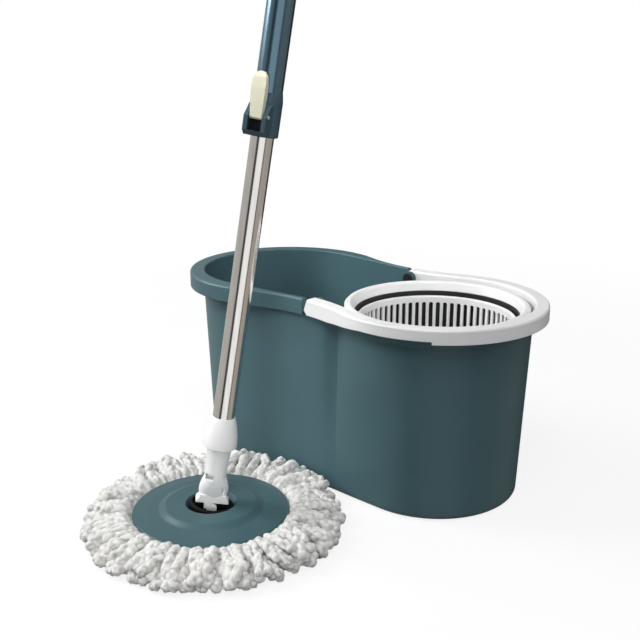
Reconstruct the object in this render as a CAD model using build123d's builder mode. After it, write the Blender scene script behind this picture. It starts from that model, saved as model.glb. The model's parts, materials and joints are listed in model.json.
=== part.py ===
from build123d import *
import math
import os

# A spin mop set: a two-lobed bucket with a spin basket, and a push-handle mop standing in front of it.
# Millimetres and degrees. The origin is the middle of the bucket's foot, on the floor.
# +X points to the basket lobe, -Y to the front and +Z up.

# Bucket
LOBE_X = 110.5  # each lobe's centre, left and right of the middle
BASE_R = 94.0  # lobe radius at the floor
WALL_R = 102.5  # lobe radius at the rim
RIM_TOP = 214.0
WALL = 2.5
FLOOR = 3.0
FOOT_ROUND = 7.0
STEP_X, STEP_Y = 26.0, 90.6  # where the wash side turns in towards the waist crease
CREASE_X, CREASE_Y = 43.0, 82.0  # the waist crease, at the rim
RIM_R = 118.0  # outer radius of the rim and the bail
WAIST_Y = 97.5  # half width of the rim at its waist
RIM_DROP = 18.0
RIM_PLATE = 2.5
RIM_ROUND = 3.0
RIM_END_X = 4.0  # the rim stops here, and the bail goes on
LEDGE_TOP = 196.0  # top of the wall under the bail, which carries the basket collar
LEDGE_HALF_TURN = 118.0
LIP_R, LIP_TOP = 109.5, 205.0  # the ledge's upright lip, inside the bail
LIP_HALF_TURN = 112.0
RIM_INNER_ROUND = 1.5

# Bail
BAIL_WIDTH = 15.0
BAIL_BOTTOM = 196.6  # lower edge of the bail beside its pivots
BAIL_SKIN = 2.6
BAIL_ROUND = 2.4
ARCH_X = (45.0, 100.0)  # the lower edge rises between these
ARCH_LOW = 202.0
GRIP_X = 175.0  # the bail's deeper finger grip starts here
GRIP_LOW_EDGE = 199.0
BAIL_END = [(-2.4, RIM_TOP), (-6.9, 201.5), (-2.6, BAIL_BOTTOM)]  # its slanted end, from the pivot
HOLLOW_X = 26.0  # the bail is a hollow channel from here on
PIVOT_X, PIVOT_Z = 14.0, 205.3
PIVOT_R = 3.0
PIVOT_EYE_R = 8.5
PIVOT_HEAD_R, PIVOT_HEAD = 6.5, 2.2  # the pin's head, inside the bucket
LUG_Y = 82.2  # outer face of the lug that holds the pivot pin
LUG_THICK = 4.5
PIN_END_Y = 94.2

# Basket
COLLAR_R = 98.8
COLLAR_IN_R = 88.0
COLLAR_LOW, COLLAR_TOP = 199.6, 209.6
BASKET_TOP = 194.8
BASKET_FLOOR = 104.0
BASKET_R = 84.0
BASKET_WALL = 2.0
SLOTS = 64
SLOT_WIDTH = 4.6
SLOT_LOW, SLOT_HIGH = 114.0, 187.4
CRADLE_R, CRADLE_WALL = 87.6, 2.0  # the drum round the basket
CRADLE_LOW = 110.0
CRADLE_ARMS = 4
HUB_BASE = 84.0
HUB_UNDER = HUB_BASE + 18.0  # underside of the basket's hub
BASKET_HUB_R, BASKET_HUB_TOP = 14.0, 128.0
POST_TOP = 146.0
SPINDLE_R = 4.0
CLIP_Z = 128.6
BUSH_R, BUSH_TOP = 6.0, 126.0
RUNNING = 0.05  # radial clearance of a turning fit

# Mop head
HEAD_X, HEAD_Y = 2.7, -232.7
HEAD_TURN = 49.2  # the head's own x axis, turned from +X
DISC_R = 80.0
DISC_EDGE = 19.6
DISC_CROWN = 26.0
OPENING_R = 23.0  # opening in the crown of the disc
TILT_Z = 22.0  # height of the two tilt axes
CUP_FLANGE_R = 33.0
SCREWS = 4
SCREW_R = 1.3
SCREW_CIRCLE_R = 29.2
SCREW_SEAT = 9.5
FRINGE_R = 135.5
FRINGE_TOP = 24.0
FINGERS = 40
BACKING_IN_R, BACKING_R = 46.0, 72.0
BACKING_LOW, BACKING_TOP = 9.0, 14.0

# Pole, measured along its axis from the tilt axes
LEAN = 9.0
RING_IN_R, RING_R, RING_HALF = 19.4, 22.0, 4.0
TILT_PIN_R = 2.0
FOOT_DEPTH = 6.8  # half depth of the fork's foot
KNUCKLE_R = 15.4  # the fork's corners are rounded to this
# The fork's shoulders, as rings with a height, a half width and a half depth
SHOULDERS = [(12.0, 13.4, 6.8), (19.0, 15.0, 8.6), (25.5, 14.0, 10.0), (34.0, 11.0, 11.0)]
SLIT_X, SLIT_T = 9.6, 20.0  # the long recess in the right shoulder
SLIT_LONG, SLIT_WIDE, SLIT_TURN = 9.0, 3.4, 98.0
SLIT_FLOOR = 4.4
TONGUE_X, TONGUE_HALF = -3.8, 4.1  # the tongue under the front of the foot
WINDOW_X, WINDOW_T = -6.1, 34.6
WINDOW_WIDE, WINDOW_HIGH = 7.4, 6.2
SOCKET_LOW, SOCKET_HIGH = 66.6, 98.5
SPIGOT_TOP = 94.0  # the fork's spigot, inside the tube
RIVET_R, RIVET_T = 2.0, 82.0
TUBE_R, TUBE_IN_R = 11.0, 10.0
TUBE_LOW, TUBE_TOP = SOCKET_LOW, 500.0
NUT_LOW = 488.0
NUT_THICK = 4.0
NUT_HOLE = 8.8
ROD_SIDE = 7.0
ROD_PITCH = 120.0
ROD_LOW, ROD_TOP = 452.0, 770.0
ANCHOR_LOW = 752.0
ANCHOR_PIN_R = 1.8
HOUSING_LOW, HOUSING_TOP = 376.0, 416.0
HOUSING_R = 14.4
CHEEK_Y = 11.4  # half width of the block beside the lever's root
POCKET_Y = 7.0  # half width of the pocket between the cheeks
BLOCK_X = 21.2
HANDLE_R, HANDLE_IN_R = 13.0, 12.1
HANDLE_LOW, HANDLE_TOP = 382.0, 1056.0
LOCK_TURN = 240.0  # side of the pole that the lock lever is on
LEVER_PIN = 394.5
LEVER_PIN_X = 17.0
LEVER_TOP = 434.0
LEVER_ROOT_R = 3.3
LOCK_PIN_R = 1.7
GRIP_LOW = 930.0
GRIP_R = 15.6
EYE_R = 4.0
EYE_T = 1080.0
EYE_THICK = 8.0
EYE_RING_R = 9.0

STANDING = (Align.CENTER, Align.CENTER, Align.MIN)
OUTWARD = (Align.MIN, Align.CENTER, Align.MIN)


def upright(frame):
    """The plane through a frame's z axis, with the frame's x across and its z up."""
    return Plane(origin=frame.origin, x_dir=frame.x_dir, z_dir=-frame.y_dir)


def sideways(frame):
    """The plane square to a frame's x axis, with the frame's y across and its z up."""
    return Plane(origin=frame.origin, x_dir=frame.y_dir, z_dir=frame.x_dir)


def turned(frame, angle):
    """A frame turned about its own z axis."""
    across = frame.x_dir * math.cos(math.radians(angle)) + frame.y_dir * math.sin(math.radians(angle))
    return Plane(origin=frame.origin, x_dir=across, z_dir=frame.z_dir)


def leaned(frame, angle):
    """A frame leaned towards its own x axis."""
    along = frame.z_dir * math.cos(math.radians(angle)) + frame.x_dir * math.sin(math.radians(angle))
    across = frame.x_dir * math.cos(math.radians(angle)) - frame.z_dir * math.sin(math.radians(angle))
    return Plane(origin=frame.origin, x_dir=across, z_dir=along)


def up(frame):
    """A frame's z axis."""
    return Axis(frame.origin, frame.z_dir)


def half_section(frame, *corners):
    """The face beside a frame's z axis with these (radius, height) corners."""
    with BuildSketch(upright(frame)) as section:
        with BuildLine():
            Polyline(*corners, close=True)
        make_face()
    return section.sketch


def tube_section(frame, inner, outer, low, high):
    """The half section of a straight tube."""
    return half_section(frame, (inner, low), (outer, low), (outer, high), (inner, high))


def square_on(plane, side):
    """A square face on a plane."""
    with BuildSketch(plane) as face:
        Rectangle(side, side)
    return face.sketch.face()


# The rim is two lobes joined by a hollow arc at the waist, tangent to both.
WAIST_R = (LOBE_X**2 - RIM_R**2 + WAIST_Y**2) / (2 * (RIM_R - WAIST_Y))
WAIST_CENTRE_Y = WAIST_Y + WAIST_R
WAIST_TURN = math.degrees(math.atan2(WAIST_CENTRE_Y, LOBE_X))


def rim_face(height, inset):
    """The face inside the rim's outer line, moved in by an inset."""
    lobe = RIM_R - inset
    hollow = WAIST_R + inset
    lobe_arc = 360 - 2 * WAIST_TURN
    hollow_arc = 180 - 2 * WAIST_TURN
    with BuildSketch(Plane.XY.offset(height)) as face:
        with BuildLine():
            CenterArc((-LOBE_X, 0), lobe, WAIST_TURN, lobe_arc)
            CenterArc((0, -WAIST_CENTRE_Y), hollow, WAIST_TURN, hollow_arc)
            CenterArc((LOBE_X, 0), lobe, WAIST_TURN + 180, lobe_arc)
            CenterArc((0, WAIST_CENTRE_Y), hollow, WAIST_TURN + 180, hollow_arc)
        make_face()
    return face.sketch


def foot_face(height, inset):
    """The wall's outline at the floor: two half circles and two straight sides."""
    lobe = BASE_R - inset
    with BuildSketch(Plane.XY.offset(height)) as face:
        with BuildLine():
            CenterArc((-LOBE_X, 0), lobe, 180, 90)
            Line((-LOBE_X, -lobe), (STEP_X, -lobe))
            Line((STEP_X, -lobe), (CREASE_X, -lobe))
            Line((CREASE_X, -lobe), (LOBE_X, -lobe))
            CenterArc((LOBE_X, 0), lobe, 270, 90)
            mirror(about=Plane.XZ)
        make_face()
    return face.sketch


def mouth_face(height, inset):
    """The wall's outline at the rim, drawn in at a waist crease on each side."""
    lobe = WALL_R - inset
    step = (STEP_X, inset - STEP_Y)
    crease = (CREASE_X, inset - CREASE_Y)
    reach = math.hypot(step[0] + LOBE_X, step[1])
    touch = math.atan2(step[1], step[0] + LOBE_X) - math.acos(lobe / reach)
    touch_point = (lobe * math.cos(touch) - LOBE_X, lobe * math.sin(touch))
    with BuildSketch(Plane.XY.offset(height)) as face:
        with BuildLine():
            CenterArc((-LOBE_X, 0), lobe, 180, 180 + math.degrees(touch))
            Line(touch_point, step)
            turn_in = (STEP_X + 10, step[1] + 0.8)
            turn_out = (CREASE_X - 6.5, crease[1] - 1.5)
            Bezier(step, turn_in, turn_out, crease)
            TangentArc((LOBE_X, -lobe), crease, tangent=(-1, 0))
            CenterArc((LOBE_X, 0), lobe, 270, 90)
            mirror(about=Plane.XZ)
        make_face()
    return face.sketch


basket_frame = Plane(origin=(LOBE_X, 0, 0))
ledge_start = turned(basket_frame, -LEDGE_HALF_TURN)
lip_start = turned(basket_frame, -LIP_HALF_TURN)
head = turned(Plane(origin=(HEAD_X, HEAD_Y, 0)), HEAD_TURN)
tilt = head.offset(TILT_Z)
pole = leaned(tilt, LEAN)
lock = turned(pole, LOCK_TURN)

# Bucket shell
with BuildPart() as bucket_shell:
    loft([foot_face(0, 0), mouth_face(RIM_TOP, 0)], ruled=True)
    fillet(bucket_shell.faces().sort_by(Axis.Z)[0].edges(), FOOT_ROUND)
    rim_low = RIM_TOP - RIM_DROP
    extrude(rim_face(rim_low, 0) - rim_face(rim_low, RIM_PLATE), amount=RIM_DROP)
    extrude(rim_face(RIM_TOP - RIM_PLATE, 0), amount=RIM_PLATE)
    with BuildSketch(Plane.XY.offset(rim_low)):
        add(rim_face(0, 0))
        with Locations((RIM_END_X - RIM_PLATE / 2, 0)):
            Rectangle(RIM_PLATE, 2 * RIM_R, mode=Mode.INTERSECT)
    extrude(amount=RIM_DROP)
    rim_edges = bucket_shell.faces().sort_by(Axis.Z)[-1].outer_wire().edges()
    fillet(rim_edges, RIM_ROUND)
    loft([foot_face(FLOOR, WALL), mouth_face(RIM_TOP, WALL)], ruled=True, mode=Mode.SUBTRACT)
    fillet(bucket_shell.faces().sort_by(Axis.Z)[-1].inner_wires()[0].edges(), RIM_INNER_ROUND)
    with Locations((RIM_END_X, 0, LEDGE_TOP)):
        Box(RIM_R + LOBE_X, 2 * RIM_R, RIM_DROP * 2, align=OUTWARD, mode=Mode.SUBTRACT)
    ledge = tube_section(ledge_start, COLLAR_IN_R + 5, LIP_R, LEDGE_TOP - 3, LEDGE_TOP)
    revolve(ledge, axis=up(basket_frame), revolution_arc=2 * LEDGE_HALF_TURN)
    lip = tube_section(lip_start, LIP_R - WALL, LIP_R, LEDGE_TOP - 1, LIP_TOP)
    revolve(lip, axis=up(basket_frame), revolution_arc=2 * LIP_HALF_TURN)
    for side in (Plane.XZ.offset(LUG_Y), Plane.XZ.offset(-LUG_Y)):
        inward = -LUG_THICK if side.origin.Y < 0 else LUG_THICK
        with BuildSketch(side):
            with Locations((PIVOT_X, PIVOT_Z)):
                Circle(PIVOT_EYE_R - 0.5)
            with Locations((PIVOT_X, PIVOT_Z - 15)):
                Rectangle(2 * PIVOT_EYE_R - 1, 30)
        extrude(amount=inward)
        with BuildSketch(side):
            with Locations((PIVOT_X, PIVOT_Z - 21)):
                Rectangle(2 * PIVOT_EYE_R - 1, 18)
        extrude(amount=-inward * 1.6)
    with Locations(Location((PIVOT_X, 0, PIVOT_Z), (90, 0, 0))):
        Cylinder(PIVOT_R, 2 * LUG_Y + 10, mode=Mode.SUBTRACT)

# Bail pivot pins
with BuildPart() as bail_pins:
    lug_in = LUG_Y - LUG_THICK
    for side in (-1, 1):
        with Locations(Location((PIVOT_X, side * (lug_in + PIN_END_Y) / 2, PIVOT_Z), (90, 0, 0))):
            Cylinder(PIVOT_R, PIN_END_Y - lug_in)
        with Locations(Location((PIVOT_X, side * (lug_in - PIVOT_HEAD / 2), PIVOT_Z), (90, 0, 0))):
            Cylinder(PIVOT_HEAD_R, PIVOT_HEAD)

# Bail handle
with BuildPart() as bail_handle:
    bail_ring = rim_face(BAIL_BOTTOM, 0) - rim_face(BAIL_BOTTOM, BAIL_WIDTH)
    extrude(bail_ring, amount=RIM_TOP - BAIL_BOTTOM)
    fillet(bail_handle.faces().sort_by(Axis.Z)[-1].edges(), BAIL_ROUND)
    with BuildSketch(Plane.XY.offset(BAIL_BOTTOM)):
        add(rim_face(0, BAIL_SKIN) - rim_face(0, BAIL_WIDTH - BAIL_SKIN))
        with Locations((HOLLOW_X + RIM_R, 0)):
            Rectangle(2 * RIM_R, 2 * RIM_R, mode=Mode.INTERSECT)
    extrude(amount=RIM_TOP - BAIL_BOTTOM - BAIL_SKIN, mode=Mode.SUBTRACT)
    far = GRIP_X + RIM_R
    bail_end = [(PIVOT_X + x, z) for x, z in BAIL_END]
    arch = [(ARCH_X[0], BAIL_BOTTOM), (ARCH_X[1], ARCH_LOW), (GRIP_X, ARCH_LOW)]
    grip = [(GRIP_X, GRIP_LOW_EDGE), (far, GRIP_LOW_EDGE), (far, RIM_TOP)]
    with BuildSketch(Plane.XZ):
        with BuildLine():
            Polyline(*bail_end, *arch, *grip, close=True)
        make_face()
    extrude(amount=2 * RIM_R, both=True, mode=Mode.INTERSECT)
    with Locations(Location((PIVOT_X, 0, PIVOT_Z), (90, 0, 0))):
        Cylinder(PIVOT_R + RUNNING, 2 * LUG_Y + 26, mode=Mode.SUBTRACT)

# Basket collar, the fixed ring that the basket turns inside
with BuildPart() as basket_collar:
    revolve(
        half_section(
            basket_frame,
            (COLLAR_IN_R, COLLAR_LOW),
            (90.7, COLLAR_TOP - 2.0),
            (92.8, COLLAR_TOP),
            (96.6, COLLAR_TOP),
            (COLLAR_R, COLLAR_TOP - 2.2),
            (COLLAR_R, LEDGE_TOP),
            (COLLAR_R - 2.4, LEDGE_TOP),
            (COLLAR_R - 2.4, COLLAR_TOP - 3.4),
            (93.4, COLLAR_TOP - 3.0),
            (90.4, COLLAR_LOW),
        ),
        axis=up(basket_frame),
    )

# Basket cradle, a drum round the basket with four arms under it that meet at a hub
with BuildPart() as basket_cradle:
    revolve(
        half_section(
            basket_frame,
            (CRADLE_R, CRADLE_LOW),
            (CRADLE_R + CRADLE_WALL, CRADLE_LOW),
            (CRADLE_R + CRADLE_WALL, LEDGE_TOP),
            (COLLAR_R - 2.6, LEDGE_TOP),
            (COLLAR_R - 2.6, LEDGE_TOP + 3),
            (CRADLE_R, LEDGE_TOP + 3),
        ),
        axis=up(basket_frame),
    )
    revolve(tube_section(basket_frame, 0, 16, HUB_BASE, HUB_BASE + 16), axis=up(basket_frame))
    arm_floor = HUB_BASE + 6
    arm_end = CRADLE_R + CRADLE_WALL
    with Locations(basket_frame.location):
        with PolarLocations(CRADLE_R + CRADLE_WALL / 2, CRADLE_ARMS, start_angle=45):
            with Locations((0, 0, arm_floor)):
                Box(CRADLE_WALL, 14, CRADLE_LOW + 1 - arm_floor, align=STANDING)
        with PolarLocations(arm_end / 2, CRADLE_ARMS, start_angle=45):
            with Locations((0, 0, arm_floor)):
                Box(arm_end, 14, 4, align=STANDING)
    revolve(
        tube_section(basket_frame, 0, SPINDLE_R, HUB_BASE + 3, HUB_BASE + 17),
        axis=up(basket_frame),
        mode=Mode.SUBTRACT,
    )

# Basket spindle, washer and clip
with BuildPart() as basket_spindle:
    revolve(
        half_section(
            basket_frame,
            (0, HUB_BASE + 3),
            (SPINDLE_R, HUB_BASE + 3),
            (SPINDLE_R, CLIP_Z),
            (SPINDLE_R - 1, CLIP_Z),
            (SPINDLE_R - 1, CLIP_Z + 1.2),
            (SPINDLE_R, CLIP_Z + 1.2),
            (SPINDLE_R, CLIP_Z + 3.5),
            (SPINDLE_R - 1, CLIP_Z + 4.5),
            (0, CLIP_Z + 4.5),
        ),
        axis=up(basket_frame),
    )
with BuildPart() as thrust_washer:
    washer = tube_section(basket_frame, SPINDLE_R, 9, HUB_BASE + 16, HUB_BASE + 17.5)
    revolve(washer, axis=up(basket_frame))
with BuildPart() as spindle_clip:
    revolve(tube_section(basket_frame, SPINDLE_R - 1, 7, CLIP_Z, CLIP_Z + 1.2), axis=up(basket_frame))

# Spin basket
with BuildPart() as slot_cutter:
    with BuildSketch(Plane.YZ):
        with Locations((0, (SLOT_LOW + SLOT_HIGH) / 2)):
            SlotOverall(SLOT_HIGH - SLOT_LOW, SLOT_WIDTH, rotation=90)
    extrude(amount=8, both=True)
with BuildPart() as spin_basket:
    revolve(
        half_section(
            basket_frame,
            (BUSH_R, HUB_UNDER),
            (BASKET_HUB_R, HUB_UNDER),
            (BASKET_HUB_R, BASKET_FLOOR),
            (BASKET_R - 3, BASKET_FLOOR),
            (BASKET_R - 1, BASKET_FLOOR + 2),
            (BASKET_R, BASKET_TOP - 4.5),
            (BASKET_R + 1.3, BASKET_TOP - 3.5),
            (BASKET_R + 1.3, BASKET_TOP - 1),
            (BASKET_R + 0.3, BASKET_TOP),
            (BASKET_R - 1, BASKET_TOP),
            (BASKET_R - BASKET_WALL, BASKET_TOP - 1.5),
            (BASKET_R - BASKET_WALL - 1, BASKET_FLOOR + 2.5),
            (BASKET_HUB_R, BASKET_FLOOR + 2.5),
            (BASKET_HUB_R, BASKET_HUB_TOP),
            (BUSH_R, BASKET_HUB_TOP),
        ),
        axis=up(basket_frame),
    )
    with Locations(basket_frame.location):
        with PolarLocations(BASKET_R, SLOTS):
            add(slot_cutter.part, mode=Mode.SUBTRACT)
        with PolarLocations(50, 16):
            with Locations((0, 0, BASKET_FLOOR)):
                Box(44, 5, 10, mode=Mode.SUBTRACT)
with BuildPart() as basket_bush:
    bush = tube_section(basket_frame, SPINDLE_R + RUNNING, BUSH_R, HUB_UNDER, BUSH_TOP)
    revolve(bush, axis=up(basket_frame))

# Centre post, which the mop disc sits on in the basket
with BuildPart() as centre_post:
    post_low = BASKET_FLOOR + 2.5
    revolve(
        half_section(
            basket_frame,
            (BASKET_HUB_R, post_low),
            (21, post_low),
            (18.5, POST_TOP - 4),
            (16, POST_TOP),
            (0, POST_TOP),
            (0, POST_TOP - 8),
            (9, POST_TOP - 8),
            (9, BASKET_HUB_TOP),
            (BASKET_HUB_R, BASKET_HUB_TOP),
        ),
        axis=up(basket_frame),
    )

# Mop disc, a low dome with a ring step and a central opening
with BuildPart() as mop_disc:
    revolve(
        half_section(
            head,
            (OPENING_R, 12),
            (OPENING_R + 2.5, 12),
            (OPENING_R + 2.5, DISC_CROWN - 5),
            (OPENING_R + 6, DISC_CROWN - 3),
            (43.5, 22.2),
            (49, 19.4),
            (50, 18.9),
            (50, BACKING_TOP),
            (53, BACKING_TOP),
            (53, 18.6),
            (66, 17.4),
            (66, BACKING_TOP),
            (69, BACKING_TOP),
            (69, 17.1),
            (77.6, 16.2),
            (77.6, 15.2),
            (DISC_R - 0.6, 15.2),
            (DISC_R, 16.2),
            (DISC_R, DISC_EDGE - 1.6),
            (DISC_R - 1.6, DISC_EDGE),
            (64, 21.2),
            (54.5, 21.7),
            (52.6, 22.2),
            (47.4, 25.2),
            (45.4, DISC_CROWN - 0.3),
            (OPENING_R + 4.5, DISC_CROWN),
            (OPENING_R + 3, DISC_CROWN),
            (OPENING_R, DISC_CROWN - 5),
        ),
        axis=up(head),
    )
    with Locations(head.location):
        with Locations(Location((0, 0, TILT_Z), (90, 0, 0))):
            Cylinder(TILT_PIN_R, 2 * OPENING_R + 4.8, mode=Mode.SUBTRACT)
        with PolarLocations(SCREW_CIRCLE_R, SCREWS, start_angle=45):
            with Locations((0, 0, SCREW_SEAT + 2.5)):
                Cylinder(3.2, 11, align=STANDING)
                Cylinder(SCREW_R, 8.5, align=STANDING, mode=Mode.SUBTRACT)

# Hub cup, the dark dish under the opening, and its screws
with BuildPart() as hub_cup:
    revolve(
        half_section(
            head,
            (0, 4.0),
            (OPENING_R + 1, 4.0),
            (OPENING_R + 2.5, 5.5),
            (OPENING_R + 2.5, SCREW_SEAT),
            (CUP_FLANGE_R, SCREW_SEAT),
            (CUP_FLANGE_R, 12.0),
            (OPENING_R, 12.0),
            (OPENING_R, 7.0),
            (OPENING_R - 1, 6.2),
            (0, 6.2),
        ),
        axis=up(head),
    )
    with Locations(head.location):
        with PolarLocations(SCREW_CIRCLE_R, SCREWS, start_angle=45):
            with Locations((0, 0, SCREW_SEAT)):
                Cylinder(SCREW_R, 8, mode=Mode.SUBTRACT)
with BuildPart() as hub_screws:
    with Locations(head.location):
        with PolarLocations(SCREW_CIRCLE_R, SCREWS, start_angle=45):
            with Locations((0, 0, SCREW_SEAT)):
                Cylinder(2.4, 1.8, align=(Align.CENTER, Align.CENTER, Align.MAX))
                Cylinder(SCREW_R, 11, align=STANDING)

# Strand backing ring, snapped under the disc, and the strands
with BuildPart() as strand_backing:
    revolve(tube_section(head, BACKING_IN_R, BACKING_R, BACKING_LOW, BACKING_TOP), axis=up(head))
with BuildPart() as finger_gap:
    with BuildSketch(Plane.XY):
        with BuildLine():
            Polyline((104, 0), (FRINGE_R + 4, 3.6), (FRINGE_R + 4, -3.6), close=True)
        make_face()
    extrude(amount=FRINGE_TOP + 2)
with BuildPart() as mop_strands:
    revolve(
        half_section(
            head,
            (BACKING_IN_R, 0),
            (FRINGE_R - 7, 0),
            (FRINGE_R, 6),
            (FRINGE_R - 4, 14),
            (FRINGE_R - 18, 21),
            (98, FRINGE_TOP),
            (87, 21.5),
            (81.5, 14.6),
            (BACKING_R + 1, 14.0),
            (BACKING_R + 1, BACKING_LOW),
            (BACKING_IN_R, BACKING_LOW),
        ),
        axis=up(head),
    )
    with Locations(head.location):
        with PolarLocations(0, FINGERS):
            add(finger_gap.part, mode=Mode.SUBTRACT)

# Gimbal ring with its two pins in the disc, and the tilt pin across it
with BuildPart() as gimbal_pins:
    with Locations(tilt.location):
        for side in (-1, 1):
            with Locations(Location((0, side * 21.6, 0), (90, 0, 0))):
                Cylinder(TILT_PIN_R, 7.4)
with BuildPart() as gimbal_ring:
    revolve(
        half_section(
            pole,
            (RING_IN_R, -RING_HALF),
            (RING_R - 1, -RING_HALF),
            (RING_R, -RING_HALF + 1),
            (RING_R, RING_HALF - 1.5),
            (RING_R - 1.5, RING_HALF),
            (RING_IN_R, RING_HALF),
        ),
        axis=up(pole),
    )
    with Locations(pole.location):
        with Locations(Location((0, 0, 0), (90, 0, 0))):
            Cylinder(TILT_PIN_R + RUNNING, 3 * RING_R, mode=Mode.SUBTRACT)
        with Locations(Location((0, 0, 0), (0, 90, 0))):
            Cylinder(TILT_PIN_R, 3 * RING_R, mode=Mode.SUBTRACT)
with BuildPart() as tilt_pin:
    with Locations(pole.location):
        with Locations(Location((0, 0, 0), (0, 90, 0))):
            Cylinder(TILT_PIN_R, 2 * RING_R - 2)

# Tilt fork, the knuckle and neck that turn on the tilt pin
with BuildPart() as tilt_fork:
    with BuildSketch(upright(pole)):
        with BuildLine():
            Polyline((0, 5.6), (16.8, 5.6), (16.8, 7.4), (13.4, 11.5), (13.4, 14), (0, 14))
            mirror(about=Plane.YZ)
        make_face()
        with Locations((TONGUE_X, 3.2)):
            Rectangle(2 * TONGUE_HALF, 8)
        Circle(5.4)
    extrude(amount=FOOT_DEPTH, both=True)
    knuckle = half_section(pole, (0, -9), (17.6, -9), (17.6, 8), (KNUCKLE_R, 13), (KNUCKLE_R, 15), (0, 15))
    revolve(knuckle, axis=up(pole), mode=Mode.INTERSECT)
    for height, wide, deep in SHOULDERS:
        with BuildSketch(pole.offset(height)):
            Ellipse(wide, deep)
    loft()
    revolve(
        half_section(
            pole,
            (0, SHOULDERS[-1][0] - 1),
            (SHOULDERS[-1][2], SHOULDERS[-1][0] - 1),
            (11.1, 44),
            (12.4, SOCKET_LOW - 0.2),
            (TUBE_IN_R - RUNNING, SOCKET_LOW - 0.2),
            (TUBE_IN_R - RUNNING, SPIGOT_TOP),
            (0, SPIGOT_TOP),
        ),
        axis=up(pole),
    )
    with BuildSketch(upright(pole)):
        with Locations((WINDOW_X, WINDOW_T)):
            Rectangle(WINDOW_WIDE, WINDOW_HIGH)
    extrude(amount=14, mode=Mode.SUBTRACT)
    with BuildSketch(upright(pole).offset(SLIT_FLOOR)):
        with Locations((SLIT_X, SLIT_T)):
            SlotOverall(SLIT_LONG, SLIT_WIDE, rotation=SLIT_TURN)
    extrude(amount=14, mode=Mode.SUBTRACT)
    with Locations(pole.location):
        with Locations(Location((0, 0, 0), (0, 90, 0))):
            Cylinder(TILT_PIN_R + RUNNING, 3 * RING_R, mode=Mode.SUBTRACT)
        with Locations(Location((0, 0, RIVET_T), (90, 0, 0))):
            Cylinder(RIVET_R, 60, mode=Mode.SUBTRACT)

# Pole socket, the white bulb round the foot of the tube, which hides the tube's rivet
with BuildPart() as pole_socket:
    revolve(
        half_section(
            pole,
            (TUBE_R, SOCKET_LOW),
            (16.4, SOCKET_LOW),
            (17.3, SOCKET_LOW + 0.9),
            (17.3, SOCKET_LOW + 4),
            (16.6, SOCKET_LOW + 12),
            (15.3, SOCKET_LOW + 20),
            (13.5, SOCKET_LOW + 27),
            (12.2, SOCKET_HIGH - 1.2),
            (11.6, SOCKET_HIGH),
            (TUBE_R, SOCKET_HIGH),
        ),
        axis=up(pole),
    )
with BuildPart() as lower_tube:
    revolve(tube_section(pole, TUBE_IN_R, TUBE_R, TUBE_LOW, TUBE_TOP), axis=up(pole))
    with Locations(pole.location):
        with Locations(Location((0, 0, RIVET_T), (90, 0, 0))):
            Cylinder(RIVET_R, 60, mode=Mode.SUBTRACT)
with BuildPart() as socket_rivet:
    with Locations(pole.location):
        with Locations(Location((0, 0, RIVET_T), (90, 0, 0))):
            Cylinder(RIVET_R, 2 * TUBE_R - 0.4)

# Nut holder and drive nut in the top of the tube, with the bush that the handle slides on
with BuildPart() as nut_holder:
    revolve(
        half_section(
            pole,
            (6.5, NUT_LOW - 18),
            (TUBE_IN_R, NUT_LOW - 18),
            (TUBE_IN_R, TUBE_TOP),
            (8, TUBE_TOP),
            (8, NUT_LOW),
            (6.5, NUT_LOW),
        ),
        axis=up(pole),
    )
with BuildPart() as drive_nut:
    rod_turn = 360 * (NUT_LOW + NUT_THICK / 2 - ROD_LOW) / ROD_PITCH
    with BuildSketch(pole.offset(NUT_LOW)):
        Circle(8)
        Rectangle(NUT_HOLE, NUT_HOLE, rotation=rod_turn, mode=Mode.SUBTRACT)
    extrude(amount=NUT_THICK)
with BuildPart() as guide_bush:
    revolve(
        half_section(
            pole,
            (TUBE_R + RUNNING, TUBE_TOP - 20),
            (HANDLE_IN_R - RUNNING, TUBE_TOP - 20),
            (HANDLE_IN_R - RUNNING, TUBE_TOP + 2.4),
            (8, TUBE_TOP + 2.4),
            (8, TUBE_TOP + 0.4),
            (TUBE_R + RUNNING, TUBE_TOP + 0.4),
        ),
        axis=up(pole),
    )

# Twist rod with its stop, held by an anchor and a cross pin in the handle tube
with BuildPart() as twist_rod:
    rod_foot = pole.offset(ROD_LOW)
    rod_length = ROD_TOP - ROD_LOW
    rod_turns = 360 * rod_length / ROD_PITCH
    rod_vector = pole.z_dir * rod_length
    rod_square = square_on(rod_foot, ROD_SIDE)
    add(Solid.extrude_linear_with_rotation(rod_square, rod_foot.origin, rod_vector, rod_turns))
with BuildPart() as rod_stop:
    revolve(tube_section(pole, 0, 7.5, ROD_LOW - 5, ROD_LOW), axis=up(pole))
with BuildPart() as rod_anchor:
    revolve(tube_section(pole, 0, HANDLE_IN_R, ANCHOR_LOW, ROD_TOP + 10), axis=up(pole))
    revolve(tube_section(pole, 0, 5.2, ANCHOR_LOW - 1, ROD_TOP), axis=up(pole), mode=Mode.SUBTRACT)
    with Locations(pole.location):
        with Locations(Location((0, 0, ROD_TOP + 5), (90, 0, 0))):
            Cylinder(ANCHOR_PIN_R, 60, mode=Mode.SUBTRACT)
with BuildPart() as anchor_pin:
    with Locations(pole.location):
        with Locations(Location((0, 0, ROD_TOP + 5), (90, 0, 0))):
            Cylinder(ANCHOR_PIN_R, 2 * HANDLE_R)

# Handle tube
with BuildPart() as upper_tube:
    revolve(tube_section(pole, HANDLE_IN_R, HANDLE_R, HANDLE_LOW, HANDLE_TOP), axis=up(pole))
    with Locations(pole.location):
        with Locations(Location((0, 0, ROD_TOP + 5), (90, 0, 0))):
            Cylinder(ANCHOR_PIN_R, 60, mode=Mode.SUBTRACT)

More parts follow.
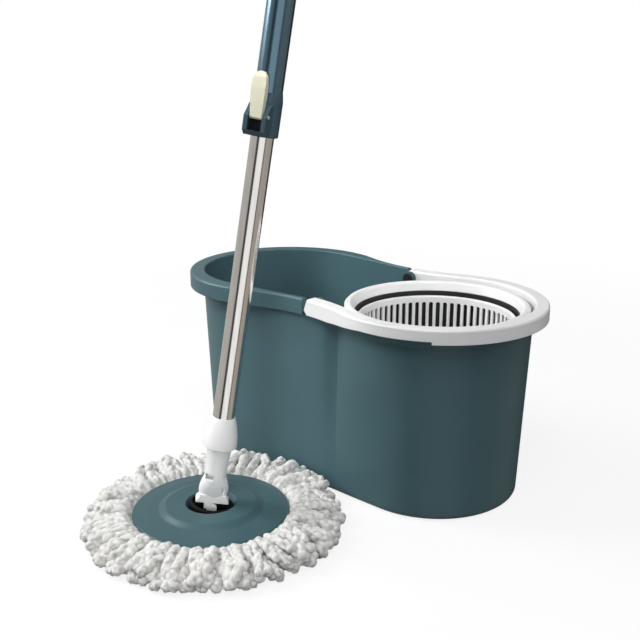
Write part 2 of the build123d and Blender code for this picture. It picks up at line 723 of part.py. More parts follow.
# Lock housing at the foot of the handle tube, with a pocket for the lever's root
with BuildPart() as lock_housing:
    with BuildSketch(upright(lock)):
        with BuildLine():
            Polyline((0, HOUSING_LOW + 0.6), (17.4, HOUSING_LOW + 0.6), (BLOCK_X, HOUSING_LOW + 5))
            Polyline((BLOCK_X, HOUSING_LOW + 5), (BLOCK_X, 394), (13, 405), (0, 405), (0, HOUSING_LOW + 0.6))
        make_face()
    extrude(amount=CHEEK_Y, both=True)
    revolve(
        half_section(
            lock,
            (0, HOUSING_LOW),
            (HOUSING_R - 0.8, HOUSING_LOW),
            (HOUSING_R, HOUSING_LOW + 0.8),
            (HOUSING_R, HOUSING_TOP - 8),
            (HANDLE_R + 0.3, HOUSING_TOP),
            (0, HOUSING_TOP),
        ),
        axis=up(lock),
    )
    handle_seat = tube_section(lock, 0, HANDLE_R, HANDLE_LOW, HOUSING_TOP + 1)
    revolve(handle_seat, axis=up(lock), mode=Mode.SUBTRACT)
    tube_way = tube_section(lock, 0, TUBE_R + 0.35, HOUSING_LOW - 1, HANDLE_LOW)
    revolve(tube_way, axis=up(lock), mode=Mode.SUBTRACT)
    with BuildSketch(upright(lock)):
        with Locations((HANDLE_R + 0.4, HOUSING_LOW + 5)):
            Rectangle(20, 80, align=(Align.MIN, Align.MIN))
    extrude(amount=POCKET_Y, both=True, mode=Mode.SUBTRACT)
    with Locations(lock.location):
        with Locations(Location((LEVER_PIN_X, 0, LEVER_PIN), (90, 0, 0))):
            Cylinder(LOCK_PIN_R, 40, mode=Mode.SUBTRACT)
with BuildPart() as lock_pin:
    with Locations(lock.location):
        with Locations(Location((LEVER_PIN_X, 0, LEVER_PIN), (90, 0, 0))):
            Cylinder(LOCK_PIN_R, 2 * CHEEK_Y + 1.2)
with BuildPart() as brake_pad:
    with BuildSketch(upright(lock)):
        with Locations((HANDLE_R + 0.4, HOUSING_LOW + 5)):
            Rectangle(4, 8, align=(Align.MIN, Align.MIN))
    extrude(amount=POCKET_Y, both=True)

# Lock lever, a leaf-shaped paddle that lies along the handle
with BuildPart() as lock_lever:
    with BuildSketch(upright(lock)):
        with BuildLine():
            Polyline((14.1, LEVER_PIN), (20.3, LEVER_PIN), (21.6, 406), (22.4, 420), (21.8, 429))
            Polyline((21.8, 429), (19.8, LEVER_TOP), (17.6, LEVER_TOP), (14.1, LEVER_PIN))
        make_face()
        with Locations((LEVER_PIN_X, LEVER_PIN)):
            Circle(LEVER_ROOT_R)
    extrude(amount=POCKET_Y, both=True)
    with BuildSketch(sideways(lock)):
        with BuildLine():
            Polyline((0, 390), (5.9, 390), (6.1, 400), (7.0, 412), (7.0, 424), (6.2, 429.6))
            Polyline((6.2, 429.6), (3.6, LEVER_TOP - 0.8), (0, LEVER_TOP))
            mirror(about=Plane.YZ)
        make_face()
    extrude(amount=40, mode=Mode.INTERSECT)
    with Locations(lock.location):
        with Locations(Location((LEVER_PIN_X, 0, LEVER_PIN), (90, 0, 0))):
            Cylinder(LOCK_PIN_R + RUNNING, 40, mode=Mode.SUBTRACT)

# Hand grip and the cap with its hanging eye
with BuildPart() as hand_grip:
    revolve(
        half_section(
            pole,
            (HANDLE_R, GRIP_LOW),
            (14.4, GRIP_LOW),
            (GRIP_R, GRIP_LOW + 5),
            (GRIP_R, HANDLE_TOP),
            (HANDLE_R, HANDLE_TOP),
        ),
        axis=up(pole),
    )
with BuildPart() as hang_cap:
    revolve(
        half_section(
            pole,
            (0, HANDLE_TOP),
            (GRIP_R, HANDLE_TOP),
            (GRIP_R, HANDLE_TOP + 4),
            (13.0, HANDLE_TOP + 10),
            (8.0, HANDLE_TOP + 13),
            (0, HANDLE_TOP + 13),
        ),
        axis=up(pole),
    )
    with BuildSketch(upright(pole)):
        with Locations((0, EYE_T)):
            Circle(EYE_RING_R)
        with Locations((0, EYE_T - EYE_RING_R)):
            Rectangle(2 * EYE_RING_R, 2 * EYE_RING_R)
    extrude(amount=EYE_THICK / 2, both=True)
    with Locations(pole.location):
        with Locations(Location((0, 0, EYE_T), (90, 0, 0))):
            Cylinder(EYE_R, 40, mode=Mode.SUBTRACT)

pieces = {
    "bucket_shell": bucket_shell,
    "bail_pins": bail_pins,
    "bail_handle": bail_handle,
    "basket_collar": basket_collar,
    "basket_cradle": basket_cradle,
    "basket_spindle": basket_spindle,
    "thrust_washer": thrust_washer,
    "spindle_clip": spindle_clip,
    "spin_basket": spin_basket,
    "basket_bush": basket_bush,
    "centre_post": centre_post,
    "mop_disc": mop_disc,
    "hub_cup": hub_cup,
    "hub_screws": hub_screws,
    "strand_backing": strand_backing,
    "mop_strands": mop_strands,
    "gimbal_pins": gimbal_pins,
    "gimbal_ring": gimbal_ring,
    "tilt_pin": tilt_pin,
    "tilt_fork": tilt_fork,
    "pole_socket": pole_socket,
    "socket_rivet": socket_rivet,
    "lower_tube": lower_tube,
    "nut_holder": nut_holder,
    "drive_nut": drive_nut,
    "guide_bush": guide_bush,
    "twist_rod": twist_rod,
    "rod_stop": rod_stop,
    "rod_anchor": rod_anchor,
    "anchor_pin": anchor_pin,
    "upper_tube": upper_tube,
    "lock_housing": lock_housing,
    "lock_pin": lock_pin,
    "brake_pad": brake_pad,
    "lock_lever": lock_lever,
    "hand_grip": hand_grip,
    "hang_cap": hang_cap,
}
os.makedirs("parts", exist_ok=True)
for name, piece in pieces.items():
    piece.part.label = name
    export_step(piece.part, f"parts/{name}.step")
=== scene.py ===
import json
import math
import random

import bpy
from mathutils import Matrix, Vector, noise


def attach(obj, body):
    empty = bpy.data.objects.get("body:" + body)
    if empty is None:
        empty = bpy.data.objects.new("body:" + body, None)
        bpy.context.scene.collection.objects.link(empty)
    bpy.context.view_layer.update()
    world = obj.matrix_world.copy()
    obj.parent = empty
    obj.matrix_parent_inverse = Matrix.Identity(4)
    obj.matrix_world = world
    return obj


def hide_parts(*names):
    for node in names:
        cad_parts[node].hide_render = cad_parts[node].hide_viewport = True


# The looks of the spin mop set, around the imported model. Metres, in the model's own frame.

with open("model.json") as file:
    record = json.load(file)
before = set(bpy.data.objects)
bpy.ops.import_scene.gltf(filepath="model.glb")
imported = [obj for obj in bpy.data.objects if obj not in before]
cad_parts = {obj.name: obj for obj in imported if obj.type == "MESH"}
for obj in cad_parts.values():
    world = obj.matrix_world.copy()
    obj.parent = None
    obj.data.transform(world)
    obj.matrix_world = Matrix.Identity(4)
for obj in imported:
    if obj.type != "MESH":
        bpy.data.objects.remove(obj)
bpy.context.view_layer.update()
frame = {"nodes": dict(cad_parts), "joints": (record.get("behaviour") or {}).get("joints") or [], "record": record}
nodes = frame["nodes"]
joints = {joint["name"]: joint for joint in frame["joints"]}

MM = 0.001
UP = Vector((0, 0, 1))

# The mop head's centre on the floor and its two axes, from the joint that tilts it
TILT_AT = Vector(joints["head_tilt"]["pos_m"])
HEAD_AT = Vector((TILT_AT.x, TILT_AT.y, 0.0))
HEAD_Y = Vector(joints["head_tilt"]["axis"])
HEAD_X = HEAD_Y.cross(UP)


def new_material(name):
    """A new node material, with its node tree and its shader."""
    material = bpy.data.materials.new(name)
    material.use_nodes = True
    tree = material.node_tree
    return material, tree, tree.nodes["Principled BSDF"]


def add_noise(tree, scale, detail=3.0, roughness=0.55, stretch=(1, 1, 1)):
    """A noise on the object's own coordinates, in cells per metre."""
    coordinates = tree.nodes.new("ShaderNodeTexCoord")
    mapping = tree.nodes.new("ShaderNodeMapping")
    mapping.inputs["Scale"].default_value = stretch
    texture = tree.nodes.new("ShaderNodeTexNoise")
    texture.inputs["Scale"].default_value = scale
    texture.inputs["Detail"].default_value = detail
    texture.inputs["Roughness"].default_value = roughness
    tree.links.new(coordinates.outputs["Object"], mapping.inputs["Vector"])
    tree.links.new(mapping.outputs["Vector"], texture.inputs["Vector"])
    return texture.outputs["Fac"]


def add_ramp(tree, source, stops):
    """A colour ramp from (place, colour) stops."""
    ramp = tree.nodes.new("ShaderNodeValToRGB")
    elements = ramp.color_ramp.elements
    while len(elements) < len(stops):
        elements.new(0.5)
    for element, (place, colour) in zip(elements, stops):
        element.position = place
        element.color = (*colour, 1.0)
    tree.links.new(source, ramp.inputs["Fac"])
    return ramp.outputs["Color"]


def add_mix(tree, share, first, second):
    """Two shaders mixed, by the share of the second."""
    mix = tree.nodes.new("ShaderNodeMixShader")
    tree.links.new(share, mix.inputs["Fac"])
    tree.links.new(first, mix.inputs[1])
    tree.links.new(second, mix.inputs[2])
    return mix.outputs["Shader"]


def shade(colour, factor):
    """A colour made lighter or darker."""
    return tuple(min(1.0, channel * factor) for channel in colour)


def vary_colour(tree, shader, source, colour, darkest, lightest):
    """Shades a shader's colour from its darkest to its lightest factor, by a noise."""
    stops = [(0.3, shade(colour, darkest)), (0.7, shade(colour, lightest))]
    tree.links.new(add_ramp(tree, source, stops), shader.inputs["Base Color"])


def vary_gloss(tree, shader, source, smoothest, roughest):
    """Spreads a shader's roughness between two values, by a noise."""
    spread = tree.nodes.new("ShaderNodeMapRange")
    spread.inputs["To Min"].default_value = smoothest
    spread.inputs["To Max"].default_value = roughest
    tree.links.new(source, spread.inputs["Value"])
    tree.links.new(spread.outputs["Result"], shader.inputs["Roughness"])


def add_bump(tree, shader, source, strength, depth, edge=0.0):
    """Bump on a shader's normal, over edges that are softened by a small radius."""
    bump = tree.nodes.new("ShaderNodeBump")
    bump.inputs["Strength"].default_value = strength
    bump.inputs["Distance"].default_value = depth
    tree.links.new(source, bump.inputs["Height"])
    tree.links.new(bump.outputs["Normal"], shader.inputs["Normal"])
    if edge:
        soft_edge = tree.nodes.new("ShaderNodeBevel")
        soft_edge.samples = 6
        soft_edge.inputs["Radius"].default_value = edge
        tree.links.new(soft_edge.outputs["Normal"], bump.inputs["Normal"])


# Plastic: the flow in its colour, the smears in its gloss and the grain of its mould
FLOW_SCALE = 14.0
SMEAR_SCALE = 55.0
GRAIN_SCALE = 900.0
GRAIN_STRENGTH = 0.12
GRAIN_DEPTH = 0.2 * MM
EDGE_SOFT = 0.9 * MM


def moulded_plastic(name, colour, rough, mottle=0.05, gloss_level=0.5):
    """Moulded plastic: a faint flow mottle in its colour and a fine grain in its gloss."""
    material, tree, shader = new_material(name)
    flow = add_noise(tree, FLOW_SCALE, detail=4.0)
    vary_colour(tree, shader, flow, colour, 1 - mottle, 1 + mottle)
    smears = add_noise(tree, SMEAR_SCALE, detail=5.0)
    vary_gloss(tree, shader, smears, rough - 0.06, rough + 0.08)
    grain = add_noise(tree, GRAIN_SCALE, detail=2.0)
    add_bump(tree, shader, grain, GRAIN_STRENGTH, GRAIN_DEPTH, EDGE_SOFT)
    shader.inputs["Specular IOR Level"].default_value = gloss_level
    return material


# Metal: the flow and the orange peel of its paint, or the lines that drawing leaves on it
PAINT_SCALE = 30.0
PEEL_SCALE = 420.0
PEEL_STRENGTH = 0.01
PEEL_DEPTH = 0.3 * MM
LINE_SCALE = 260.0
ALONG_TUBE = (1, 1, 0.02)


def painted_metal(name, colour, rough):
    """Metallic paint under a clear coat, with a trace of orange peel."""
    material, tree, shader = new_material(name)
    shader.inputs["Metallic"].default_value = 0.95
    flow = add_noise(tree, PAINT_SCALE)
    vary_colour(tree, shader, flow, colour, 0.96, 1.04)
    vary_gloss(tree, shader, flow, rough - 0.01, rough + 0.02)
    shader.inputs["Coat Weight"].default_value = 0.5
    shader.inputs["Coat Roughness"].default_value = 0.08
    peel = add_noise(tree, PEEL_SCALE, detail=2.0)
    add_bump(tree, shader, peel, PEEL_STRENGTH, PEEL_DEPTH)
    return material


def polished_metal(name, colour, rough, stretch=(1, 1, 1)):
    """Polished metal with fine drawing lines."""
    material, tree, shader = new_material(name)
    shader.inputs["Metallic"].default_value = 1.0
    lines = add_noise(tree, LINE_SCALE, stretch=stretch)
    vary_colour(tree, shader, lines, colour, 0.93, 1.04)
    vary_gloss(tree, shader, lines, rough - 0.03, rough + 0.05)
    return material


# Yarn: clumps in its colour, painted shade where its pile is low, and the bump of its pile
PILE = "pile"  # the attribute that says how far a point stands out of the yarn, from 0 to 1
CLUMP_SCALE = 160.0
CLUMP_SHARE = 0.35
PILE_SCALE = 1100.0
PILE_STRENGTH = 0.7
PILE_DEPTH = 0.8 * MM


def chenille(name, colour):
    """Looped microfibre: painted shade, darker where the pile is low between its loops and plies, and a fuzzy
    sheen.
    """
    material, tree, shader = new_material(name)
    height = tree.nodes.new("ShaderNodeAttribute")
    height.attribute_name = PILE
    clumps_and_shade = tree.nodes.new("ShaderNodeMath")
    clumps_and_shade.operation = "MULTIPLY_ADD"
    clumps_and_shade.inputs[1].default_value = CLUMP_SHARE
    clumps = add_noise(tree, CLUMP_SCALE, detail=4.0, roughness=0.6)
    tree.links.new(clumps, clumps_and_shade.inputs[0])
    tree.links.new(height.outputs["Fac"], clumps_and_shade.inputs[2])
    # Painted shade: the yarn's colour darkens where its pile is low, in the creases between its loops and plies
    stops = [(0.15, shade(colour, 0.38)), (0.55, shade(colour, 0.78)), (1.0, colour)]
    tree.links.new(add_ramp(tree, clumps_and_shade.outputs["Value"], stops), shader.inputs["Base Color"])
    shader.inputs["Roughness"].default_value = 0.95
    shader.inputs["Specular IOR Level"].default_value = 0.15
    shader.inputs["Sheen Weight"].default_value = 0.35
    shader.inputs["Sheen Roughness"].default_value = 0.5
    pile = add_noise(tree, PILE_SCALE, detail=4.0, roughness=0.7)
    add_bump(tree, shader, pile, PILE_STRENGTH, PILE_DEPTH)
    return material


TEAL = (0.064, 0.128, 0.146)
DISC_TEAL = (0.053, 0.110, 0.124)
HOUSING_TEAL = (0.040, 0.076, 0.098)
WHITE = (0.85, 0.85, 0.845)
BLACK = (0.010, 0.010, 0.012)
HUB_BLACK = (0.004, 0.004, 0.005)
CREAM = (0.79, 0.78, 0.60)
YARN = (0.80, 0.79, 0.765)
TUBE_STEEL = (0.80, 0.78, 0.75)
PLAIN_STEEL = (0.55, 0.55, 0.55)
PIN_STEEL = (0.80, 0.80, 0.80)
TUBE_PAINT = (0.105, 0.190, 0.255)
BRONZE = (0.45, 0.30, 0.14)

materials = {
    "teal_plastic": moulded_plastic("teal_plastic", TEAL, 0.36, gloss_level=0.25),
    "disc_plastic": moulded_plastic("disc_plastic", DISC_TEAL, 0.36, gloss_level=0.25),
    "housing_plastic": moulded_plastic("housing_plastic", HOUSING_TEAL, 0.4, gloss_level=0.25),
    "white_plastic": moulded_plastic("white_plastic", WHITE, 0.38, mottle=0.015),
    "black_plastic": moulded_plastic("black_plastic", BLACK, 0.42),
    "hub_plastic": moulded_plastic("hub_plastic", HUB_BLACK, 0.6, gloss_level=0.1),
    "cream_plastic": moulded_plastic("cream_plastic", CREAM, 0.34, mottle=0.03),
    "strands": chenille("strands", YARN),
    "polished_steel": polished_metal("polished_steel", TUBE_STEEL, 0.13, ALONG_TUBE),
    "plain_steel": polished_metal("plain_steel", PLAIN_STEEL, 0.32),
    "pin_steel": polished_metal("pin_steel", PIN_STEEL, 0.5),
    "painted_tube": painted_metal("painted_tube", TUBE_PAINT, 0.22),
    "bronze": polished_metal("bronze", BRONZE, 0.4),
}

# Nodes whose finish is not quite that of their slot
OWN_FINISH = {
    "mop_disc": "disc_plastic",
    "hub_cup": "hub_plastic",
    "gimbal_ring": "hub_plastic",
    "tilt_pin": "hub_plastic",
    "lock_housing": "housing_plastic",
    "brake_pad": "hub_plastic",
    "lock_pin": "pin_steel",
}
for subpart in frame["record"]["subparts"]:
    finish = OWN_FINISH.get(subpart["node"], subpart["material_slot"])
    slots = nodes[subpart["node"]].data.materials
    slots.clear()
    slots.append(materials[finish])


def new_piece(name, points, faces, slot, body, *stands_for):
    """A smooth mesh piece that rides on a body, has a slot's finish and stands for CAD nodes."""
    mesh = bpy.data.meshes.new(name)
    mesh.from_pydata(points, [], faces)
    mesh.validate()
    mesh.shade_smooth()
    piece = bpy.data.objects.new(name, mesh)
    bpy.context.scene.collection.objects.link(piece)
    mesh.materials.append(materials[slot])
    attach(piece, body)
    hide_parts(*stands_for)
    return piece


# Mop strands: each finger is a loop of chenille yarn twisted on itself
FINGER_R = 5.1 * MM
FINGER_PITCH = 15.0 * MM
FINGER_SIDES = 20
RING_STEP = 1.15 * MM
PATH_STEPS = 40
ROOT_R = 66.0 * MM
DISC_CLEAR_R = 79.0 * MM
PEAK_R = 90.5 * MM
LOWEST_PEAK = 5.4 * MM
LOWEST_TIP = 5.2 * MM
FLOOR_GAP = 0.4 * MM
SWAY_WAVE = 5.5  # radians of sideways wave from the disc's edge to the tip
BEAD = 10.5 * MM
LOOP = 4.8 * MM
DOME_R = 0.78  # in loop sizes

# What makes up a finger's thickness, as shares of it, and the least that is left at its tip
CORD_SHARE = 0.66
PLY_SHARE = 0.16
BEAD_SHARE = 0.06
LOOP_SHARE = 0.34
TIP_SHARE = 0.12

# How far the plies and the loops stand out of the yarn, which also sets how much painted shade they get
PLY_PILE = 0.25
LOOP_PILE = 0.75

# Layers of fingers from the floor up: count, reach, root, peak and tip heights, how far fingers stray
LAYERS = [
    (66, 133 * MM, 5.4 * MM, 5.4 * MM, 5.2 * MM, 0.08),
    (66, 134 * MM, 7.6 * MM, 12.5 * MM, 9.0 * MM, 0.10),
    (62, 131 * MM, 9.4 * MM, 20.0 * MM, 14.0 * MM, 0.13),
    (28, 121 * MM, 9.6 * MM, 22.5 * MM, 18.5 * MM, 0.25),
]
LAYER_TURN = 0.37  # how far each layer is turned on, in fingers
LAYER_LIFT = 3.5 * MM  # on the side that the head's Y axis points to
REACH_SHIFT = 3 * MM  # further on the side that the head's X axis points to, and less on the other

# The least and the most that is drawn for each finger
DRAW_SEED = 7
TURN_DRAWN = (-0.25, 0.25)
REACH_DRAWN_MM = (-4, 3)
TIP_DRAWN_MM = (-2.0, 2.0)
PEAK_DRAWN_MM = (-1.5, 1.0)
SWAY_DRAWN = (-0.03, 0.03)
THICK_DRAWN = (0.95, 1.12)
SEED_DRAWN = (0, 50)
TWIST_DRAWN = (0, 6.28)


def eased(share):
    """A share from 0 to 1, slow at both ends."""
    share = min(1.0, max(0.0, share))
    return share * share * (3 - 2 * share)


def outwards(angle):
    """The direction from the head's centre at an angle."""
    return HEAD_X * math.cos(angle) + HEAD_Y * math.sin(angle)


def finger_path(turn, reach, root_z, peak_z, tip_z, drift, sway):
    """Points of a finger's centreline, from under the disc, up beside its edge and down to its tip."""
    points = []
    for step in range(PATH_STEPS + 1):
        radius = ROOT_R + (reach - ROOT_R) * step / PATH_STEPS
        out = max(0.0, (radius - DISC_CLEAR_R) / (reach - DISC_CLEAR_R))
        angle = turn + drift * out * out + sway * math.sin(SWAY_WAVE * out) * out
        rise = root_z + (peak_z - root_z) * eased((radius - DISC_CLEAR_R) / (PEAK_R - DISC_CLEAR_R))
        height = rise + (tip_z - peak_z) * eased((radius - PEAK_R) / (reach - PEAK_R))
        points.append(HEAD_AT + outwards(angle) * radius + UP * height)
    return points


def resampled(points, step):
    """Points at even steps along a line of points."""
    spread = [points[0]]
    left = step
    for start, end in zip(points, points[1:]):
        length = (end - start).length
        along = left
        while along < length:
            spread.append(start.lerp(end, along / length))
            along += step
        left = along - length
    return spread


def loop_height(spot, size):
    """Domes of a loop's size packed side by side: 1 on top of a dome and about 0 between domes."""
    far = noise.voronoi(spot / size)[0][0]
    return max(0.0, 1 - (far / DOME_R) ** 2)


def finger_mesh(points, faces, pile, path, thick, twist, seed):
    """Adds one twisted finger with looped pile and a round tip."""
    line = resampled(path, RING_STEP)
    count = len(line)
    first = len(points)
    apart = Vector((seed, 0, 0)) * LOOP
    for index, centre in enumerate(line):
        ahead = line[min(index + 1, count - 1)] - line[max(index - 1, 0)]
        ahead.normalize()
        across = UP.cross(ahead).normalized()
        above = ahead.cross(across)
        length = index * RING_STEP
        to_tip = (count - 1 - index) * RING_STEP
        tip = math.sqrt(max(0.0, 1 - max(0.0, 1 - to_tip / thick) ** 2))
        bead = BEAD_SHARE * math.cos(2 * math.pi * length / BEAD + seed)
        for side in range(FINGER_SIDES):
            angle = 2 * math.pi * side / FINGER_SIDES
            ply = abs(math.cos(angle - twist - math.pi * length / FINGER_PITCH))
            radial = across * math.cos(angle) + above * math.sin(angle)
            loop = loop_height(centre + radial * thick + apart, LOOP)
            share = CORD_SHARE + PLY_SHARE * ply + bead + LOOP_SHARE * loop
            points.append(centre + radial * (thick * share * max(TIP_SHARE, tip)))
            pile.append(PLY_PILE * ply + LOOP_PILE * loop)
    for index in range(count - 1):
        for side in range(FINGER_SIDES):
            here = first + index * FINGER_SIDES + side
            beside = first + index * FINGER_SIDES + (side + 1) % FINGER_SIDES
            faces.append((here, beside, beside + FINGER_SIDES, here + FINGER_SIDES))
    faces.append(tuple(first + side for side in reversed(range(FINGER_SIDES))))
    last = first + (count - 1) * FINGER_SIDES
    faces.append(tuple(last + side for side in range(FINGER_SIDES)))


# The core's section, as radius and height in millimetres, and its lumps
CORE = [(72, 3), (72, 9), (84, 11), (92, 14), (103, 14), (114, 11), (122, 7), (122, 3)]
CORE_STEP = 2.4 * MM
CORE_SIDES = 300
CORE_LOOP = 1.5 * LOOP
CORE_LUMP = 2.2 * MM
CORE_LEAN = 0.4
# The core's pile stays at most half, so it gets painted shade, darker in the gaps between the fingers
CORE_PILE = 0.5


def tangled_core(points, faces, pile):
    """Adds the tangle of loops that fills the gaps between the fingers, a lumpy ring."""
    corners = [Vector((radius, height, 0)) * MM for radius, height in CORE]
    section = resampled(corners + [corners[0]], CORE_STEP)
    count = len(section)
    first = len(points)
    for step in range(CORE_SIDES):
        side = outwards(2 * math.pi * step / CORE_SIDES)
        for corner in section:
            spot = HEAD_AT + side * corner.x + UP * corner.y
            loop = loop_height(spot, CORE_LOOP)
            points.append(spot + (side * CORE_LEAN + UP) * (CORE_LUMP * (loop - 0.5)))
            pile.append(CORE_PILE * loop)
    for step in range(CORE_SIDES):
        for corner in range(count):
            here = first + step * count + corner
            above = first + step * count + (corner + 1) % count
            turn = ((step + 1) % CORE_SIDES - step) * count
            faces.append((here, here + turn, above + turn, above))


def mop_strands():
    """Layers of fingers over a tangled core, the lowest on the floor, and a few loose ones on top."""
    draw = random.Random(DRAW_SEED)
    points = []
    faces = []
    pile = []
    tangled_core(points, faces, pile)
    for layer, (count, reach, root_z, peak_z, tip_z, stray) in enumerate(LAYERS):
        for index in range(count):
            turn = 2 * math.pi * (index + LAYER_TURN * layer + draw.uniform(*TURN_DRAWN)) / count
            far = reach + draw.uniform(*REACH_DRAWN_MM) * MM + REACH_SHIFT * math.cos(turn)
            lifted = LAYER_LIFT * layer * max(0.0, math.sin(turn))
            tip = max(LOWEST_TIP, tip_z + lifted + draw.uniform(*TIP_DRAWN_MM) * MM)
            peak = max(LOWEST_PEAK, peak_z + draw.uniform(*PEAK_DRAWN_MM) * MM)
            drift = draw.uniform(-stray, stray)
            sway = draw.uniform(*SWAY_DRAWN)
            thick = FINGER_R * draw.uniform(*THICK_DRAWN)
            seed = draw.uniform(*SEED_DRAWN)
            twist = draw.uniform(*TWIST_DRAWN)
            path = finger_path(turn, far, root_z, peak, tip, drift, sway)
            finger_mesh(points, faces, pile, path, thick, twist, seed)
    points = [Vector((point.x, point.y, max(FLOOR_GAP, point.z))) for point in points]
    piece = new_piece("mop_fringe", points, faces, "strands", "mop_head", "mop_strands")
    piece.data.attributes.new(PILE, "FLOAT", "POINT").data.foreach_set("value", pile)


mop_strands()

# Camera, in the photograph's view
CAMERA_AT = (0.6693, -0.8050, 0.4769)
CAMERA_LOOK = (-0.64275, 0.71179, -0.28325)
LENS_MM = 53.06
SENSOR_MM = 36.0
NEAREST_SEEN = 0.01

# Spot lamps: how soft their cones and their shadows are
CONE_BLEND = 0.7
SPOT_R = 0.15


def hang(name, data, place, direction):
    """Puts a camera or a lamp at a place, looking in a direction."""
    holder = bpy.data.objects.new(name, data)
    holder.location = place
    holder.rotation_euler = Vector(direction).to_track_quat("-Z", "Y").to_euler()
    bpy.context.scene.collection.objects.link(holder)
    return holder


def add_area(name, place, target, size, power):
    """A square soft lamp that looks at a target."""
    lamp = bpy.data.lights.new(name, "AREA")
    lamp.size = size
    lamp.energy = power
    hang(name, lamp, place, Vector(target) - Vector(place))


def add_spot(name, place, target, cone, power):
    """A soft round lamp that lights a small place."""
    lamp = bpy.data.lights.new(name, "SPOT")
    lamp.spot_size = math.radians(cone)
    lamp.spot_blend = CONE_BLEND
    lamp.shadow_soft_size = SPOT_R
    lamp.energy = power
    hang(name, lamp, place, Vector(target) - Vector(place))


camera = bpy.data.cameras.new("camera")
camera.lens = LENS_MM
camera.sensor_width = SENSOR_MM
camera.clip_start = NEAREST_SEEN
bpy.context.scene.camera = hang("camera", camera, CAMERA_AT, CAMERA_LOOK)

add_area("key_lamp", (-1.6, -1.1, 1.45), (0.0, -0.1, 0.15), size=1.2, power=47.0)
add_area("top_lamp", (0.64, -0.74, 1.71), (0.0, -0.05, 0.15), size=0.9, power=12.0)
add_area("edge_lamp", (1.6, 0.7, 0.9), (0.05, -0.1, 0.2), size=0.8, power=4.0)
add_spot("head_lamp", (0.40, -1.0, 0.33), (0.005, -0.23, 0.06), cone=18.0, power=16.0)
add_spot("well_lamp", (0.55, -0.75, 1.05), (-0.10, 0.06, 0.17), cone=12.0, power=50.0)

# The even light of the studio
EVEN_COLOUR = (0.96, 0.98, 1.0, 1.0)
EVEN_STRENGTH = 0.28

# The studio round the object, by compass angle: what its glossy surfaces mirror
AROUND = [
    (-180, (0.50, 0.49, 0.47)),
    (-98, (0.46, 0.45, 0.43)),
    (-90, (0.05, 0.05, 0.05)),
    (-74, (0.05, 0.05, 0.05)),
    (-68, (1.0, 1.0, 1.0)),
    (-16, (1.0, 1.0, 1.0)),
    (-13, (0.07, 0.06, 0.06)),
    (-7, (0.10, 0.09, 0.08)),
    (-2, (0.42, 0.38, 0.34)),
    (70, (0.36, 0.33, 0.30)),
    (80, (0.04, 0.04, 0.04)),
    (132, (0.05, 0.05, 0.05)),
    (142, (0.50, 0.49, 0.47)),
]


def studio_world():
    """Even light for the scene, white for the camera, and the studio round it for reflections."""
    world = bpy.data.worlds.new("studio")
    world.use_nodes = True
    bpy.context.scene.world = world
    tree = world.node_tree
    even = tree.nodes["Background"]
    even.inputs["Color"].default_value = EVEN_COLOUR
    even.inputs["Strength"].default_value = EVEN_STRENGTH
    white = tree.nodes.new("ShaderNodeBackground")
    white.inputs["Color"].default_value = (1, 1, 1, 1)
    mirrored = tree.nodes.new("ShaderNodeBackground")
    coordinates = tree.nodes.new("ShaderNodeTexCoord")
    compass = tree.nodes.new("ShaderNodeTexGradient")
    compass.gradient_type = "RADIAL"
    tree.links.new(coordinates.outputs["Generated"], compass.inputs["Vector"])
    stops = [(angle / 360 + 0.5, colour) for angle, colour in AROUND]
    tree.links.new(add_ramp(tree, compass.outputs["Fac"], stops), mirrored.inputs["Color"])
    rays = tree.nodes.new("ShaderNodeLightPath")
    glossy = rays.outputs["Is Glossy Ray"]
    light = add_mix(tree, glossy, even.outputs["Background"], mirrored.outputs["Background"])
    surface = add_mix(tree, rays.outputs["Is Camera Ray"], light, white.outputs["Background"])
    tree.links.new(surface, tree.nodes["World Output"].inputs["Surface"])


# The floor: grey for light that bounces off it, and white with a soft shadow for the camera
FLOOR_HALF = 40.0
FLOOR_Z = -0.6 * MM
FLOOR_GREY = (0.25, 0.25, 0.25, 1)
FLOOR_PALE = (0.95, 0.95, 0.95, 1)
FLOOR_ROUGH = 0.9

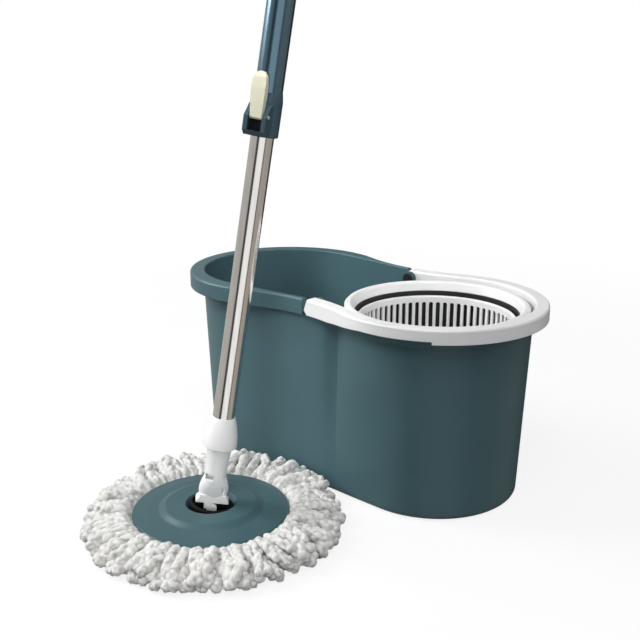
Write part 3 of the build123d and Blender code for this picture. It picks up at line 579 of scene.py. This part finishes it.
# The share of plain white near the object, and the distances between which it grows to all
WHITE_SHARE = 0.84
FADE_FROM = 0.35
FADE_TO = 1.3


def floor_finish():
    """A matt grey that the camera sees as a pale floor with shadows, under plain white."""
    material, tree, grey = new_material("floor")
    grey.inputs["Base Color"].default_value = FLOOR_GREY
    grey.inputs["Roughness"].default_value = FLOOR_ROUGH
    grey.inputs["Specular IOR Level"].default_value = 0.0
    pale = tree.nodes.new("ShaderNodeBsdfDiffuse")
    pale.inputs["Color"].default_value = FLOOR_PALE
    white = tree.nodes.new("ShaderNodeEmission")
    white.inputs["Strength"].default_value = 1.0
    place = tree.nodes.new("ShaderNodeNewGeometry")
    away = tree.nodes.new("ShaderNodeVectorMath")
    away.operation = "LENGTH"
    tree.links.new(place.outputs["Position"], away.inputs[0])
    fade = tree.nodes.new("ShaderNodeMapRange")
    fade.interpolation_type = "SMOOTHSTEP"
    fade.inputs["From Min"].default_value = FADE_FROM
    fade.inputs["From Max"].default_value = FADE_TO
    fade.inputs["To Min"].default_value = WHITE_SHARE
    fade.inputs["To Max"].default_value = 1.0
    tree.links.new(away.outputs["Value"], fade.inputs["Value"])
    seen = add_mix(tree, fade.outputs["Result"], pale.outputs["BSDF"], white.outputs["Emission"])
    rays = tree.nodes.new("ShaderNodeLightPath")
    surface = add_mix(tree, rays.outputs["Is Camera Ray"], grey.outputs["BSDF"], seen)
    tree.links.new(surface, tree.nodes["Material Output"].inputs["Surface"])
    return material


def studio_floor():
    """A wide floor just under the object, left out of reflections."""
    mesh = bpy.data.meshes.new("floor")
    corners = [(-1, -1), (1, -1), (1, 1), (-1, 1)]
    points = [(x * FLOOR_HALF, y * FLOOR_HALF, FLOOR_Z) for x, y in corners]
    mesh.from_pydata(points, [], [(0, 1, 2, 3)])
    mesh.materials.append(floor_finish())
    floor = bpy.data.objects.new("floor", mesh)
    bpy.context.scene.collection.objects.link(floor)
    floor.visible_glossy = False


studio_world()
studio_floor()

bpy.context.scene.view_settings.view_transform = "Standard"
